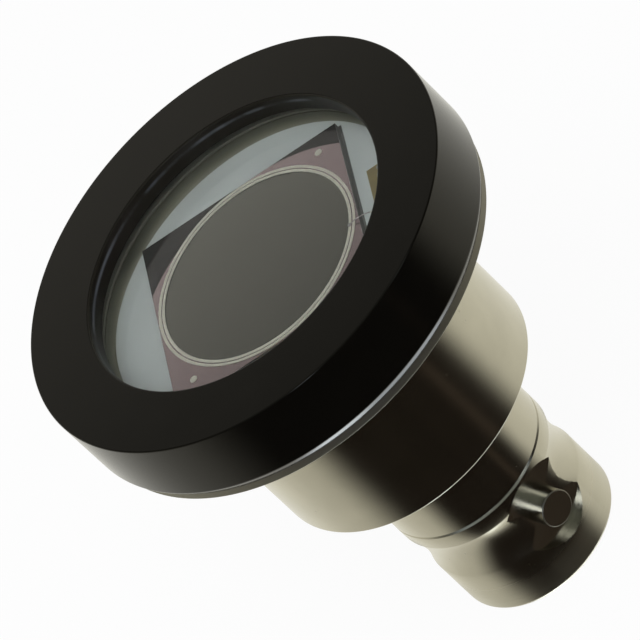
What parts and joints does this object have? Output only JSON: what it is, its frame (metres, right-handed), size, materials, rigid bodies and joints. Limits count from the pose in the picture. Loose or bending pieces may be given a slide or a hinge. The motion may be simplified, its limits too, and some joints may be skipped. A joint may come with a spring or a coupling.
{
  "type": "photodiode",
  "caption": "Large-area silicon photodiode behind a round window in a black bezel, on a nickel-plated body that ends in a coaxial bayonet connector for a shielded cable.",
  "frame": {"origin": "centre of the connector's mouth plane, on which the part stands", "axes": "+Z is the optical axis and points out of the window; the first bayonet lug lies 73 degrees from +X towards -Y"},
  "size_m": [0.0254, 0.0254, 0.0276],
  "materials": {
    "black_anodised": "satin black anodised aluminium",
    "window_glass": "clear polished glass",
    "seal": "dark olive cured bond",
    "alumina": "matt fired alumina",
    "silicon": "polished silicon with oxide tint",
    "die_bond": "matt conductive bond",
    "die_metal": "soft evaporated metal",
    "gold": "thin gold plating",
    "solder": "dull solder",
    "tinned_wire": "tinned copper",
    "white_plastic": "white moulded plastic",
    "nickel": "turned nickel plate with a warm cast"
  },
  "bodies": {
    "root": {"front_bezel": "black_anodised", "window_glass": "window_glass", "window_seal": "seal", "ceramic_substrate": "alumina", "silicon_die": "silicon", "die_attach": "die_bond", "anode_ring": "die_metal", "guard_ring": "die_metal", "probe_dots": "die_metal", "anode_pad": "gold", "cathode_pad": "gold", "bond_wire": "die_metal", "anode_solder": "solder", "cathode_solder": "solder", "ground_solder": "solder", "anode_lead": "tinned_wire", "cathode_lead": "tinned_wire", "lead_sleeve": "white_plastic", "housing": "nickel", "connector_barrel": "nickel", "connector_insulator": "white_plastic", "centre_contact": "gold"}
  },
  "joints": []
}
